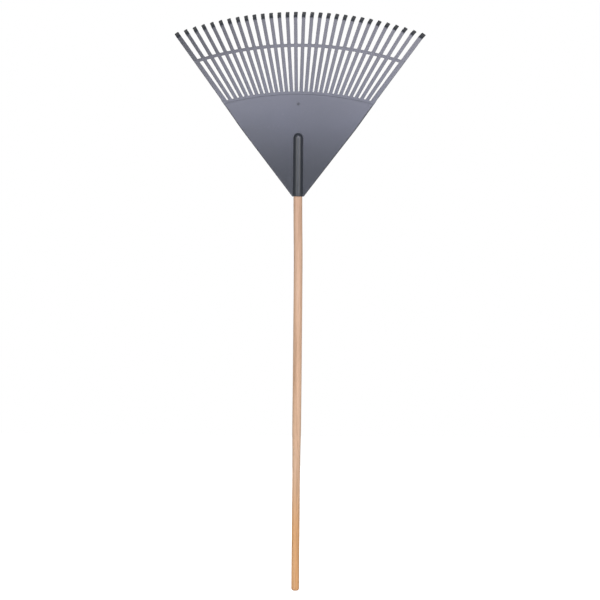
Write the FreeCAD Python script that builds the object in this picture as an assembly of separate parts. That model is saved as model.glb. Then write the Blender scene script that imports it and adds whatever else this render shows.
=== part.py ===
import FreeCAD, Part
import math
import os

# Leaf rake, upright: +Z runs up the handle, the butt of the handle rests on Z = 0, the head is at the top.
# -Y is the front, where the socket shows as a ridge. The hooked tine ends point back, to +Y.
# All lengths are in millimetres and all angles in degrees.

# Handle: a turned wooden shaft with a thinner grip and a tapered tenon inside the socket
shaft_radius = 13.4
grip_radius = 12.2
grip_top = 400.0
shaft_bottom = 500.0
butt_round = 7.0
handle_length = 1372.0
tenon_root_radius = 11.6
tenon_end_radius = 10.4
end_chamfer = 2.0

# Fan head: tines spread from the apex, and every arc across them is centred lower down
apex_z = 1181.0
arc_centre_z = 640.0
mouth_z = 1201.0
plate_half_angle = 37.5
plate_edge_outset = 1.2
slot_arc = 882.0
step_arc = 872.5
bar_arc = 1024.5
bar_width = 10.0
tip_arc = 1132.5
curve_start_arc = 640.0
curve_radius = 2800.0

# Sections of the moulding
plate_thickness = 3.0
step_depth = 0.5
bar_depth = 7.5
tine_count = 30
tine_half_fan = 36.0
tine_width = 11.0
edge_tine_width = 14.0
tip_width = 12.0
tine_thickness = 2.8
tine_rib_width = 3.0
tine_rib_depth = 8.0
tip_rib_depth = 5.0
rim_thickness = 3.0
rim_depth = 9.0
corner_round = 6.0
stiffener_angle = 16.0
stiffener_depth = 6.0
stiffener_width = 2.6
stiffener_bottom_z = 1235.0

# Hooked end of each tine
hook_radius = 14.0
hook_turn = 59.0
hook_arm = 33.0

# Flexing root of each tine, just beyond the crossbar
root_radius = 4.0
root_clearance = 0.6

# Socket and its screw
socket_radius = 14.6
socket_top = 1394.0
bore_clearance = 0.15
screw_z = 1232.0
screw_shank_radius = 1.9
screw_head_radius = 4.2
screw_head_height = 2.4
screw_depth = 17.0

apex = FreeCAD.Vector(0, 0, apex_z)
arc_centre = FreeCAD.Vector(0, 0, arc_centre_z)
depth_axis = FreeCAD.Vector(0, 1, 0)
apex_height = apex_z - arc_centre_z
cut_depth = 120.0
band_half_sweep = 25.0
tine_overrun = 12.0
angle_tolerance = 0.1


def sweep_back(arc):
    """Depth of the head's middle surface at a distance from the arc centre."""
    run = max(arc - curve_start_arc, 0.0)
    return curve_radius - math.sqrt(curve_radius ** 2 - run ** 2)


def arc_at(ray, angle):
    """Distance from the arc centre of a point on a tine's ray."""
    return math.sqrt(apex_height ** 2 + ray ** 2 + 2 * apex_height * ray * math.cos(math.radians(angle)))


def ray_at(arc, angle):
    """Distance from the apex at which a tine's ray crosses an arc."""
    turn = math.radians(angle)
    return math.sqrt(arc ** 2 - (apex_height * math.sin(turn)) ** 2) - apex_height * math.cos(turn)


def skew_at(ray, angle):
    """Angle between a tine and the arc's own radius."""
    return abs(angle) - math.degrees(math.asin(ray * math.sin(math.radians(abs(angle))) / arc_at(ray, angle)))


def local_point(ray, depth):
    """A point of a tine drawn upright, before it is turned to its place in the fan."""
    return FreeCAD.Vector(0, depth, apex_z + ray)


def disc(arc):
    """A thick disc around the arc centre, for cutting along an arc."""
    return Part.makeCylinder(arc, 2 * cut_depth, FreeCAD.Vector(0, -cut_depth, arc_centre_z), depth_axis)


def ring(inner_arc, outer_arc):
    return disc(outer_arc).cut(disc(inner_arc))


def prism_across(edges, width, offset=0.0):
    """Closed outline in the upright YZ plane, extruded to a width along X."""
    face = Part.Face(Part.Wire(edges))
    solid = face.extrude(FreeCAD.Vector(width, 0, 0))
    solid.translate(FreeCAD.Vector(offset - width / 2, 0, 0))
    return solid


def prism_deep(points, depth=cut_depth):
    """Closed polygon in the XZ plane, extruded through the whole depth of the head."""
    corners = [FreeCAD.Vector(x, -depth, z) for x, z in points]
    face = Part.Face(Part.makePolygon(corners + corners[:1]))
    return face.extrude(FreeCAD.Vector(0, 2 * depth, 0))


def wedge(half_angle, bottom_z, edge_offset=0.0):
    """Everything between the two sides of the fan, above a height."""
    spread = math.tan(math.radians(half_angle))
    shift = edge_offset / math.cos(math.radians(half_angle))
    top_z = arc_centre_z + tip_arc + 50
    low = spread * (bottom_z - apex_z) + shift
    high = spread * (top_z - apex_z) + shift
    return prism_deep([(-low, bottom_z), (low, bottom_z), (high, top_z), (-high, top_z)])


def band(inner_arc, outer_arc, front, back):
    """A strip of the head's curved surface between two arcs, turned about the arc centre."""
    middle_arc = (max(inner_arc, curve_start_arc) + outer_arc) / 2
    bend_arc = max(inner_arc, curve_start_arc)

    def point(arc, offset):
        return FreeCAD.Vector(0, sweep_back(arc) + offset, arc_centre_z + arc)

    edges = []
    if inner_arc < curve_start_arc:
        edges.append(Part.makeLine(point(inner_arc, front), point(bend_arc, front)))
    edges.append(Part.Arc(point(bend_arc, front), point(middle_arc, front), point(outer_arc, front)).toShape())
    edges.append(Part.makeLine(point(outer_arc, front), point(outer_arc, back)))
    edges.append(Part.Arc(point(outer_arc, back), point(middle_arc, back), point(bend_arc, back)).toShape())
    if inner_arc < curve_start_arc:
        edges.append(Part.makeLine(point(bend_arc, back), point(inner_arc, back)))
    edges.append(Part.makeLine(point(inner_arc, back), point(inner_arc, front)))
    face = Part.Face(Part.Wire(edges))
    face.rotate(arc_centre, depth_axis, -band_half_sweep)
    return face.revolve(arc_centre, depth_axis, 2 * band_half_sweep)


def strip(angle, ray_start, ray_end, front, back_start, back_end, width, offset=0.0):
    """A bar that follows the head's curve along one ray, drawn upright."""
    ray_middle = (ray_start + ray_end) / 2

    def point(ray, shift):
        return local_point(ray, sweep_back(arc_at(ray, angle)) + shift)

    back_middle = (back_start + back_end) / 2
    front_arc = Part.Arc(point(ray_start, front), point(ray_middle, front), point(ray_end, front))
    back_arc = Part.Arc(point(ray_end, back_end), point(ray_middle, back_middle), point(ray_start, back_start))
    edges = [
        front_arc.toShape(),
        Part.makeLine(point(ray_end, front), point(ray_end, back_end)),
        back_arc.toShape(),
        Part.makeLine(point(ray_start, back_start), point(ray_start, front)),
    ]
    return prism_across(edges, width, offset)


def rib_place(angle, width):
    """A middle tine has its rib in the middle, an edge tine has it along its outer side."""
    if abs(angle) < tine_half_fan - angle_tolerance:
        return 0.0
    return math.copysign((width - tine_rib_width) / 2, angle)


def width_of(angle):
    return edge_tine_width if abs(angle) > tine_half_fan - angle_tolerance else tine_width


def tine_angles():
    pitch = 2 * tine_half_fan / (tine_count - 1)
    return [pitch * number - tine_half_fan for number in range(tine_count)]


def inner_tine(angle, span_ring):
    """The stretch of a tine between the plate and the crossbar: a T in section."""
    width = width_of(angle)
    start = ray_at(slot_arc, angle) - tine_overrun
    end = ray_at(bar_arc - bar_width / 2, angle) + tine_overrun
    front = -plate_thickness / 2
    face_strip = strip(angle, start, end, front, front + tine_thickness, front + tine_thickness, width)
    rib_back = front + tine_rib_depth
    rib = strip(angle, start, end, front, rib_back, rib_back, tine_rib_width, rib_place(angle, width))
    tine = face_strip.fuse(rib).removeSplitter()
    tine.rotate(apex, depth_axis, angle)
    return tine.common(span_ring)


def hinge_ray(angle):
    """Distance from the apex of the line that a free tine end flexes about."""
    bar_top = ray_at(bar_arc + bar_width / 2, angle)
    skew = math.tan(math.radians(skew_at(bar_top, angle)))
    return bar_top + root_clearance + root_radius + skew * width_of(angle) / 2


def hook_strip(start, heading, thickness, rib_depth, width, offset=0.0):
    """The bent end: an arc that turns back, then a straight arm."""
    turn = math.radians(hook_turn)
    first = math.radians(heading)

    def on_bend(radius, swing):
        centre = start + FreeCAD.Vector(0, math.cos(first), -math.sin(first)) * hook_radius
        out = FreeCAD.Vector(0, -math.cos(first + swing), math.sin(first + swing))
        return centre + out * radius

    arm = FreeCAD.Vector(0, math.sin(first + turn), math.cos(first + turn)) * hook_arm
    inside = hook_radius - max(thickness, rib_depth)
    outer = [on_bend(hook_radius, swing) for swing in (0.0, turn / 2, turn)]
    inner = [on_bend(inside, swing) for swing in (turn, turn / 2, 0.0)]
    inner_end = on_bend(hook_radius - thickness, turn) + arm
    edges = [
        Part.Arc(*outer).toShape(),
        Part.makeLine(outer[2], outer[2] + arm),
        Part.makeLine(outer[2] + arm, inner_end),
        Part.makeLine(inner_end, inner[0]),
        Part.Arc(*inner).toShape(),
        Part.makeLine(inner[2], outer[0]),
    ]
    return prism_across(edges, width, offset)


def free_tine(angle):
    """One free tine end: a rounded root, a ribbed strip and the hook."""
    width = width_of(angle)
    root_ray = hinge_ray(angle)
    front = -plate_thickness / 2
    root_depth = sweep_back(arc_at(root_ray, angle)) + front + root_radius
    root = Part.makeCylinder(root_radius, width, local_point(root_ray, root_depth), FreeCAD.Vector(1, 0, 0))
    root.translate(FreeCAD.Vector(-width / 2, 0, 0))

    last = math.radians(hook_turn)
    skew = math.radians(skew_at(ray_at(tip_arc, angle), angle))
    slope = math.atan((tip_arc - curve_start_arc) / curve_radius * math.cos(skew))
    reach = hook_radius * (math.sin(slope + last) - math.sin(slope)) + hook_arm * math.cos(slope + last)
    hook_ray = ray_at(tip_arc, angle) - reach
    hook_start = local_point(hook_ray, sweep_back(arc_at(hook_ray, angle)) + front)

    rib_shift = rib_place(angle, width)
    end_width = max(width, tip_width)
    heading = math.degrees(slope)
    pieces = [
        strip(angle, root_ray, hook_ray, front, front + tine_thickness, front + tine_thickness, width),
        strip(angle, root_ray, hook_ray, front, front + 2 * root_radius, front + tip_rib_depth,
              tine_rib_width, rib_shift),
        hook_strip(hook_start, heading, tine_thickness, 0.0, end_width),
        hook_strip(hook_start, heading, tine_thickness, tip_rib_depth, tine_rib_width, rib_shift),
    ]
    tine = root
    for piece in pieces:
        tine = tine.fuse(piece)
    tine = tine.removeSplitter()
    tine.rotate(apex, depth_axis, angle)
    return tine


def crossbar():
    """The arc that ties the tines together."""
    front = -plate_thickness / 2
    inner_arc = bar_arc - bar_width / 2
    bar = band(inner_arc, bar_arc + bar_width / 2, front, front + bar_depth)
    return bar.common(wedge(tine_half_fan, mouth_z, edge_tine_width / 2))


def socket_outer():
    """The socket's outer skin: a long tube with a domed end."""
    dome_z = socket_top - socket_radius
    tube = Part.makeCylinder(socket_radius, dome_z - mouth_z, FreeCAD.Vector(0, 0, mouth_z))
    dome = Part.makeSphere(socket_radius, FreeCAD.Vector(0, 0, dome_z))
    return tube.fuse(dome).removeSplitter()


def tenon(radius_gain, end_gain):
    """The tapered end of the handle inside the socket, or with a gain the bore around it."""
    length = handle_length + end_gain - mouth_z
    base = FreeCAD.Vector(0, 0, mouth_z)
    return Part.makeCone(tenon_root_radius + radius_gain, tenon_end_radius + radius_gain, length, base)


def screw():
    """Pan-head screw driven in from the back of the socket."""
    face_y = socket_radius - 0.2
    head_base = FreeCAD.Vector(0, face_y, screw_z)
    head = Part.makeCylinder(screw_head_radius, screw_head_height, head_base, depth_axis)
    head = head.makeFillet(1.2, [head.Edges[0]])
    shank_base = FreeCAD.Vector(0, face_y - screw_depth, screw_z)
    shank = Part.makeCylinder(screw_shank_radius, screw_depth, shank_base, depth_axis)
    point = Part.makeCone(0.2, screw_shank_radius, 3.0, shank_base - depth_axis * 3.0, depth_axis)
    return head.fuse(shank).fuse(point).removeSplitter()


def handle(screw_solid):
    """The wooden shaft, with a rounded butt, a thinner grip and the tenon."""
    corner = FreeCAD.Vector(grip_radius - butt_round, 0, 0)
    middle_turn = math.radians(45)
    round_middle = FreeCAD.Vector(
        grip_radius - butt_round + butt_round * math.sin(middle_turn), 0,
        butt_round - butt_round * math.cos(middle_turn))
    grip_low = FreeCAD.Vector(grip_radius, 0, butt_round)
    grip_high = FreeCAD.Vector(grip_radius, 0, grip_top)
    shaft_low = FreeCAD.Vector(shaft_radius, 0, shaft_bottom)
    shaft_high = FreeCAD.Vector(shaft_radius, 0, mouth_z - end_chamfer)
    shoulder = FreeCAD.Vector(shaft_radius - end_chamfer / 2, 0, mouth_z)
    tenon_low = FreeCAD.Vector(tenon_root_radius, 0, mouth_z)
    tenon_high = FreeCAD.Vector(tenon_end_radius, 0, handle_length)
    outline = [
        Part.makeLine(FreeCAD.Vector(0, 0, 0), corner),
        Part.Arc(corner, round_middle, grip_low).toShape(),
    ]
    stations = [grip_low, grip_high, shaft_low, shaft_high, shoulder, tenon_low, tenon_high]
    stations += [FreeCAD.Vector(0, 0, handle_length), FreeCAD.Vector(0, 0, 0)]
    for low, high in zip(stations, stations[1:]):
        outline.append(Part.makeLine(low, high))
    face = Part.Face(Part.Wire(outline))
    shaft = face.revolve(FreeCAD.Vector(0, 0, 0), FreeCAD.Vector(0, 0, 1), 360)
    return shaft.cut(screw_solid)


def side_rims(plate_wedge):
    """The turned-back flanges along both sides of the plate, as a left and a right solid."""
    inside = wedge(plate_half_angle, mouth_z - 50, plate_edge_outset - rim_thickness)
    layer = band(mouth_z - arc_centre_z, slot_arc, step_depth - plate_thickness / 2, rim_depth)
    both = layer.common(plate_wedge).cut(inside)
    return sorted(both.Solids, key=lambda solid: solid.CenterOfMass.x)


def corner_cut(side):
    """What rounding takes off the plate where its side meets the slots."""
    turn = math.radians(plate_half_angle)
    corner_ray = ray_at(slot_arc, plate_half_angle)
    inset = corner_ray - corner_round
    sideways = plate_edge_outset - corner_round
    centre_x = inset * math.sin(turn) + sideways * math.cos(turn)
    centre_z = apex_z + inset * math.cos(turn) - sideways * math.sin(turn)
    block = Part.makeBox(corner_round * 1.6, 2 * cut_depth, corner_round * 1.6, FreeCAD.Vector(0, -cut_depth, 0))
    block.rotate(FreeCAD.Vector(0, 0, 0), depth_axis, plate_half_angle)
    block.translate(FreeCAD.Vector(centre_x, 0, centre_z))
    round_base = FreeCAD.Vector(centre_x, -2 * cut_depth, centre_z)
    bite = block.cut(Part.makeCylinder(corner_round, 4 * cut_depth, round_base, depth_axis))
    if side < 0:
        bite = bite.mirror(FreeCAD.Vector(0, 0, 0), FreeCAD.Vector(1, 0, 0))
    return bite


def stiffener(side):
    """A low rib behind the plate that runs up and out from the socket."""
    turn = math.radians(stiffener_angle)
    foot_x = 0.9 * socket_radius
    rib = Part.makeBox(stiffener_width, 2 * cut_depth, 400.0, FreeCAD.Vector(-stiffener_width / 2, -cut_depth, 0))
    rib.rotate(FreeCAD.Vector(0, 0, 0), depth_axis, side * math.degrees(turn))
    rib.translate(FreeCAD.Vector(side * foot_x, 0, stiffener_bottom_z))
    layer = band(stiffener_bottom_z - arc_centre_z, step_arc, plate_thickness / 2,
                 plate_thickness / 2 + stiffener_depth)
    return rib.common(layer)


def save(name, shape):
    if shape.Volume <= 0 or not shape.isValid():
        raise RuntimeError("bad shape: " + name)
    shape.exportStep(os.path.join("parts", name + ".step"))
    print(name, len(shape.Solids), "solids", round(shape.Volume / 1000, 2), "cm3")


def group(shapes):
    solids = [solid for shape in shapes for solid in shape.Solids]
    return Part.makeCompound(solids) if len(solids) > 1 else solids[0]


def largest(shape):
    """The main solid of a cut shape, without the specks that a grazing cut leaves."""
    return max(shape.Solids, key=lambda solid: solid.Volume)


def main():
    os.makedirs("parts", exist_ok=True)
    screw_solid = screw()
    socket_skin = socket_outer()
    bore = tenon(bore_clearance, 1.0)
    plate_wedge = wedge(plate_half_angle, mouth_z, plate_edge_outset)
    half = plate_thickness / 2

    save("handle", handle(screw_solid))
    save("socket_screw", screw_solid)
    save("handle_socket", group([socket_skin.cut(bore).cut(screw_solid)]))

    lower = band(mouth_z - arc_centre_z - 15, step_arc, step_depth - half, half)
    upper = band(step_arc, slot_arc, -half, half)
    rims = side_rims(plate_wedge)
    plate = lower.fuse(upper).removeSplitter().common(plate_wedge).cut(socket_skin)
    for rim in rims:
        plate = plate.cut(rim)
    save("fan_plate", largest(plate))
    for name, side, rim in zip(("side_rim_left", "side_rim_right"), (-1, 1), rims):
        save(name, largest(rim.cut(socket_skin).cut(corner_cut(side))))
    save("back_stiffeners", group([stiffener(side).cut(socket_skin) for side in (-1, 1)]))

    bar = crossbar()
    save("crossbar", group([bar]))
    span_ring = ring(slot_arc, bar_arc - bar_width / 2)
    angles = tine_angles()
    middle = tine_count // 2
    for name, wanted in (("inner_tines_left", angles[:middle]), ("inner_tines_right", angles[middle:])):
        save(name, group([inner_tine(angle, span_ring) for angle in wanted]))
    for number, angle in enumerate(angles, start=1):
        save("tine_%02d" % number, free_tine(angle))


main()
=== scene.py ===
import bpy
import bmesh
from math import asin, atan, atan2, copysign, cos, dist, hypot, pi, radians, sin, sqrt, tan
from mathutils import Matrix, Vector, noise


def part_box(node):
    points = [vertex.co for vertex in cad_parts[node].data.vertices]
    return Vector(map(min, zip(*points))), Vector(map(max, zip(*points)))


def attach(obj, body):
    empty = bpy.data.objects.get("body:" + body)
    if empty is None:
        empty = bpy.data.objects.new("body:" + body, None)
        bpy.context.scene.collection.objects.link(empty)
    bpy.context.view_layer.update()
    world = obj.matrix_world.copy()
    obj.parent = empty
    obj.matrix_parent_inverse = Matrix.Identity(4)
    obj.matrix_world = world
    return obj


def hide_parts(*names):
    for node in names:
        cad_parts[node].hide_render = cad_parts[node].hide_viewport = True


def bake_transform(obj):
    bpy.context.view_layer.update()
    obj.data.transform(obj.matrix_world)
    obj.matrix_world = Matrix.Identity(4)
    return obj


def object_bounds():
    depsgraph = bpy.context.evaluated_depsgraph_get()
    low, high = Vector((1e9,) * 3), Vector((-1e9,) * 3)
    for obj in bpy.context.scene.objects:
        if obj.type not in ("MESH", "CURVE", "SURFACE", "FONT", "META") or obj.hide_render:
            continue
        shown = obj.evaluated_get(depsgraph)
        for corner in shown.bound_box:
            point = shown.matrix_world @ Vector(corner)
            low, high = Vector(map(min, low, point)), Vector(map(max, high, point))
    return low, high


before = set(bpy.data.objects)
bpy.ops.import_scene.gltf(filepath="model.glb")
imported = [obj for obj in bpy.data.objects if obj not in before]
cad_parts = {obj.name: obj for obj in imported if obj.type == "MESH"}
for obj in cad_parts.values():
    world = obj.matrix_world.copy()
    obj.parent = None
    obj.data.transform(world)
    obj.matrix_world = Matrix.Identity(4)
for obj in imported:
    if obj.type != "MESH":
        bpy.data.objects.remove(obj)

cadLow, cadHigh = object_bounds()
mm = 0.001
hair = 0.02 * mm  # radius kept at the closed end of a turned shape

# The fan's own geometry, shared by every piece of the head
fan = {
    "apexZ": 1.181,  # the tines spread from here
    "arcCentreZ": 0.640,  # every arc across them is centred here
    "curveStart": 0.640,  # arc at which the head starts to sweep back
    "curveRadius": 2.8,
    "stepArc": 0.8725,
    "slotArc": 0.882,
    "barArc": 1.0245,
    "barWidth": 0.010,
    "tipArc": 1.1325,
    "halfFan": radians(36.0),
    "plateHalfAngle": radians(37.5),
    "plateOutset": 1.2 * mm,  # the plate's sides lie a little outside the rays
    "plateBulge": 0.4 * mm,  # and this much further out again, the same all along them
    "shoulderDrop": 3.4 * mm,
    "shoulderFrom": 0.775,
    "tineCount": 30,
    "tineWidth": 0.011,
    "edgeTineWidth": 0.014,
    "front": -0.0015,  # front skin of the tines, from the middle surface
    "plateFront": -0.0010,
    "back": 0.0015,
}
apexHeight = fan["apexZ"] - fan["arcCentreZ"]
lastTine = fan["tineCount"] - 1
barLow = fan["barArc"] - fan["barWidth"] / 2
barHigh = fan["barArc"] + fan["barWidth"] / 2


def sweepBack(arc):
    run = max(arc - fan["curveStart"], 0.0)
    return fan["curveRadius"] - sqrt(fan["curveRadius"] ** 2 - run ** 2)


def depthAt(x, z):
    return sweepBack(hypot(x, z - fan["arcCentreZ"]))


def rayAt(arc, angle):  # distance from the apex at which a ray crosses an arc
    return sqrt(arc ** 2 - (apexHeight * sin(angle)) ** 2) - apexHeight * cos(angle)


def crossing(angle, offset, arc):  # where a line beside a ray crosses an arc, as x and z
    sine, cosine = sin(angle), cos(angle)
    along = sqrt(arc ** 2 - (offset - apexHeight * sine) ** 2) - apexHeight * cosine
    return along * sine + offset * cosine, fan["apexZ"] + along * cosine - offset * sine


def sideOutset(arc):  # how far the plate's side lies outside its ray
    part = min(max((arc - fan["shoulderFrom"]) / (fan["slotArc"] - fan["shoulderFrom"]), 0.0), 1.0)
    return fan["plateOutset"] + fan["plateBulge"] - fan["shoulderDrop"] * part * part * (3 - 2 * part)


def tineAngle(number):
    return fan["halfFan"] * (2 * number / lastTine - 1)


def tineWidth(number):
    return fan["edgeTineWidth"] if number in (0, lastTine) else fan["tineWidth"]


# Mesh helpers
def objectFrom(data, name):
    piece = bpy.data.objects.new(name, data)
    bpy.context.scene.collection.objects.link(piece)
    return piece


def settled(piece):  # the piece with its modifiers worked in, as a plain mesh
    mesh = bpy.data.meshes.new_from_object(piece.evaluated_get(bpy.context.evaluated_depsgraph_get()))
    piece.modifiers.clear()
    return mesh


def finishMesh(mesh, material, sharpAngle=38.0):  # merged, facing outwards, smooth but for its sharp edges
    work = bmesh.new()
    work.from_mesh(mesh)
    bmesh.ops.remove_doubles(work, verts=work.verts, dist=0.01 * mm)
    bmesh.ops.dissolve_degenerate(work, edges=work.edges, dist=0.001 * mm)
    bmesh.ops.recalc_face_normals(work, faces=work.faces)
    for face in work.faces:
        face.smooth = True
        face.material_index = 0
    work.to_mesh(mesh)
    work.free()
    mesh.materials.clear()
    mesh.materials.append(material)
    mesh.set_sharp_from_angle(angle=radians(sharpAngle))
    return mesh


def evenShading(piece):  # large faces keep their own shading beside narrow rounded edges
    modifier = piece.modifiers.new("evenShading", "WEIGHTED_NORMAL")
    modifier.keep_sharp = True
    modifier.weight = 80
    mesh = settled(piece)
    mesh.name = piece.name
    piece.data = mesh


def closedSweep(rows, ends=None):  # rows of matching closed loops, joined side to side and capped
    count = len(rows[0])
    vertices = [tuple(point) for row in rows for point in row]
    faces = []
    for level in range(len(rows) - 1):
        for side in range(count):
            after = (side + 1) % count
            low, high = level * count, (level + 1) * count
            faces.append((low + side, low + after, high + after, high + side))
    last = (len(rows) - 1) * count
    for face in ends or [range(count)]:
        faces.append(tuple(reversed(face)))
        faces.append(tuple(last + index for index in face))
    return vertices, faces


def meshFrom(name, shapes):
    vertices, faces = [], []
    for points, polygons in shapes:
        shift = len(vertices)
        vertices += points
        faces += [tuple(shift + index for index in polygon) for polygon in polygons]
    mesh = bpy.data.meshes.new(name)
    mesh.from_pydata(vertices, [], faces)
    mesh.update()
    return mesh


def cutAway(piece, shapes):  # the piece's mesh with these closed shapes taken out of it
    cutters = [objectFrom(shape, "cutter") for shape in shapes]
    for cutter in cutters:
        boolean = piece.modifiers.new("cut", "BOOLEAN")
        boolean.object = cutter
        boolean.operation = "DIFFERENCE"
        boolean.solver = "EXACT"
    mesh = settled(piece)
    for cutter in cutters:
        bpy.data.objects.remove(cutter)
    return mesh


def arcOf(across, along, radius, degrees):
    return [(across + radius * cos(angle), along + radius * sin(angle))
            for angle in map(radians, degrees)]


def roundedLoop(corners, steps=5):  # corners: x, z and the radius to round them with
    loop = []
    for index, (x, z, radius) in enumerate(corners):
        here = Vector((x, z))
        before = Vector(corners[index - 1][:2]) - here
        after = Vector(corners[(index + 1) % len(corners)][:2]) - here
        half = before.angle(after) / 2
        if radius <= 0.0 or half > radians(88.0):
            loop.append((x, z))
            continue
        reach = min(radius / tan(half), 0.49 * min(before.length, after.length))
        start, end = here + before.normalized() * reach, here + after.normalized() * reach
        for step in range(steps + 1):
            part = step / steps
            loop.append(tuple(start.lerp(here, part).lerp(here.lerp(end, part), part)))
    return loop


# Node helpers
def feed(tree, value, socket):  # link a node's output, or set a plain value
    value = getattr(value, "output", value)
    if isinstance(value, bpy.types.NodeSocket):
        tree.links.new(value, socket)
    elif value is not None:
        socket.default_value = value


def setInputs(tree, node, inputs):
    for label, value in inputs.items():
        feed(tree, value, node.inputs[label])


def addNode(tree, kind, inputs=None, settings=None, output=0):
    node = tree.nodes.new(kind)
    for label, value in (settings or {}).items():
        setattr(node, label, value)
    setInputs(tree, node, inputs or {})
    return node.outputs[output]


def calc(tree, operation, first, second=None):
    return addNode(tree, "ShaderNodeMath", {0: first, 1: second}, {"operation": operation})


def blendColours(tree, amount, first, second):  # 6 and 7 are the mix's colours, and 2 its blended colour
    return addNode(tree, "ShaderNodeMix", {0: amount, 6: first, 7: second}, {"data_type": "RGBA"}, 2)


def noiseAt(tree, place, scale, detail, rough):
    return addNode(tree, "ShaderNodeTexNoise",
                   {"Vector": place, "Scale": scale, "Detail": detail, "Roughness": rough})


def stretchedNoise(tree, place, stretch, scale, detail, rough):
    stretched = addNode(tree, "ShaderNodeMapping", {"Vector": place, "Scale": stretch})
    return noiseAt(tree, stretched, scale, detail, rough)


def spread(tree, value, low, high, toLow=0.0, toHigh=1.0, style="SMOOTHSTEP"):
    return addNode(tree, "ShaderNodeMapRange",
                   {"Value": value, "From Min": low, "From Max": high, "To Min": toLow, "To Max": toHigh},
                   {"interpolation_type": style})


def startMaterial(name):
    material = bpy.data.materials.new(name)
    material.use_nodes = True
    tree = material.node_tree
    place = tree.nodes.new("ShaderNodeTexCoord").outputs["Object"]
    return material, tree, place, tree.nodes["Principled BSDF"]


# Camera and light
view = {
    "centre": (0.0086, 0.0, 0.8856),
    "distance": 8.0,
    "turn": 2.0,  # degrees round the object, to its right
    "roll": 0.40,
    "heightSeen": 1.829,
    "sensor": 36.0,
}
lamps = {
    "key": {"place": (0.30, -2.6, 2.9), "aimHeight": 1.5, "size": (2.4, 1.5), "power": 50.0,
            "colour": (0.88, 0.85, 1.0)},
    "plateGlow": {"place": (0.2, -4.0, 2.3), "aimHeight": 1.4, "size": (2.4, 0.7), "power": 23.0,
                  "colour": (0.63, 0.68, 1.0)},
    "leftSide": {"place": (-3.0, -4.5, 2.3), "aimHeight": 0.9, "size": (4.8, 1.5), "power": 70.0,
                 "colour": (1.0, 0.98, 0.95)},
    "rightSide": {"place": (3.0, -4.5, 2.3), "aimHeight": 0.9, "size": (4.8, 1.5), "power": 88.0,
                  "colour": (1.0, 0.98, 0.95)},
    "behind": {"place": (-1.2, 5.5, 1.9), "aimHeight": 1.0, "size": (3.0, 2.4), "power": 130.0,
               "colour": (1.0, 1.0, 1.0)},
}
room = {
    "seen": 1.0,  # brightness of the room where the camera sees it
    "given": 0.25,  # what the room gives as light
    "floorGlow": 0.9,
    "floorHalf": 9.0,
}


def makeCamera():
    data = bpy.data.cameras.new("rakeCamera")
    camera = objectFrom(data, "rakeCamera")
    turn = radians(view["turn"])
    centre = Vector(view["centre"])
    camera.location = centre + view["distance"] * Vector((sin(turn), -cos(turn), 0.0))
    aim = (centre - camera.location).to_track_quat("-Z", "Y")
    roll = Matrix.Rotation(radians(view["roll"]), 4, "Z")
    camera.rotation_euler = (aim.to_matrix().to_4x4() @ roll).to_euler()
    data.sensor_width = view["sensor"]
    data.lens = view["sensor"] * view["distance"] / view["heightSeen"]
    data.clip_end = 100.0
    bpy.context.scene.camera = camera


def makeLights():
    for name, facts in lamps.items():
        data = bpy.data.lights.new(name + "Light", "AREA")
        data.shape = "RECTANGLE"
        data.size, data.size_y = facts["size"]
        data.energy = facts["power"]
        data.color = facts["colour"]
        lamp = objectFrom(data, name + "Light")
        lamp.location = facts["place"]
        lamp.visible_camera = False
        aim = Vector((0.0, 0.0, facts["aimHeight"]))
        lamp.rotation_euler = (aim - lamp.location).to_track_quat("-Z", "Y").to_euler()


def makeRoom():  # white where the camera sees it, and dim as a light
    world = bpy.data.worlds.new("studioRoom")
    bpy.context.scene.world = world
    world.use_nodes = True
    tree = world.node_tree
    tree.nodes.clear()
    seen = addNode(tree, "ShaderNodeLightPath")  # whether the ray comes from the camera
    strength = spread(tree, seen, 0.0, 1.0, room["given"], room["seen"], "LINEAR")
    glow = addNode(tree, "ShaderNodeBackground", {"Color": (1.0, 1.0, 1.0, 1.0), "Strength": strength})
    feed(tree, glow, tree.nodes.new("ShaderNodeOutputWorld").inputs["Surface"])


def makeFloor():
    half = room["floorHalf"]
    level = cadLow.z - 0.5 * mm
    corners = [(-half, -half, level), (half, -half, level), (half, half, level), (-half, half, level)]
    floor = objectFrom(meshFrom("studioFloor", [(corners, [(0, 1, 2, 3)])]), "studioFloor")
    material, tree, _, shader = startMaterial("paleFloor")
    seen = addNode(tree, "ShaderNodeLightPath")
    setInputs(tree, shader, {
        "Base Color": (0.9, 0.9, 0.9, 1.0), "Roughness": 0.9, "Emission Color": (1.0, 1.0, 1.0, 1.0),
        "Emission Strength": calc(tree, "MULTIPLY", seen, room["floorGlow"])})
    floor.data.materials.append(material)


makeCamera()
makeLights()
makeRoom()
makeFloor()
bpy.context.scene.view_settings.view_transform = "Standard"
print("camera, light and floor ready")


def makeSurfaceWear():  # fine texture and handling marks, used by the plastic, the wood and the steel
    group = bpy.data.node_groups.new("surfaceWear", "ShaderNodeTree")
    for label, kind, way in (("Place", "Vector", "INPUT"), ("Grain Scale", "Float", "INPUT"),
                             ("Mark Scale", "Float", "INPUT"), ("Grain", "Float", "OUTPUT"),
                             ("Marks", "Float", "OUTPUT"), ("Dust", "Float", "OUTPUT")):
        group.interface.new_socket(label, in_out=way, socket_type="NodeSocket" + kind)
    given = group.nodes.new("NodeGroupInput").outputs
    grain = noiseAt(group, given["Place"], given["Grain Scale"], 3.0, 0.6)
    marks = noiseAt(group, given["Place"], given["Mark Scale"], 6.0, 0.6)
    dust = noiseAt(group, given["Place"], 140.0, 5.0, 0.7)
    setInputs(group, group.nodes.new("NodeGroupOutput"), {
        "Grain": spread(group, grain, 0.3, 0.7), "Marks": spread(group, marks, 0.42, 0.68),
        "Dust": spread(group, dust, 0.56, 0.74)})
    return group


surfaceWear = makeSurfaceWear()


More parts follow.
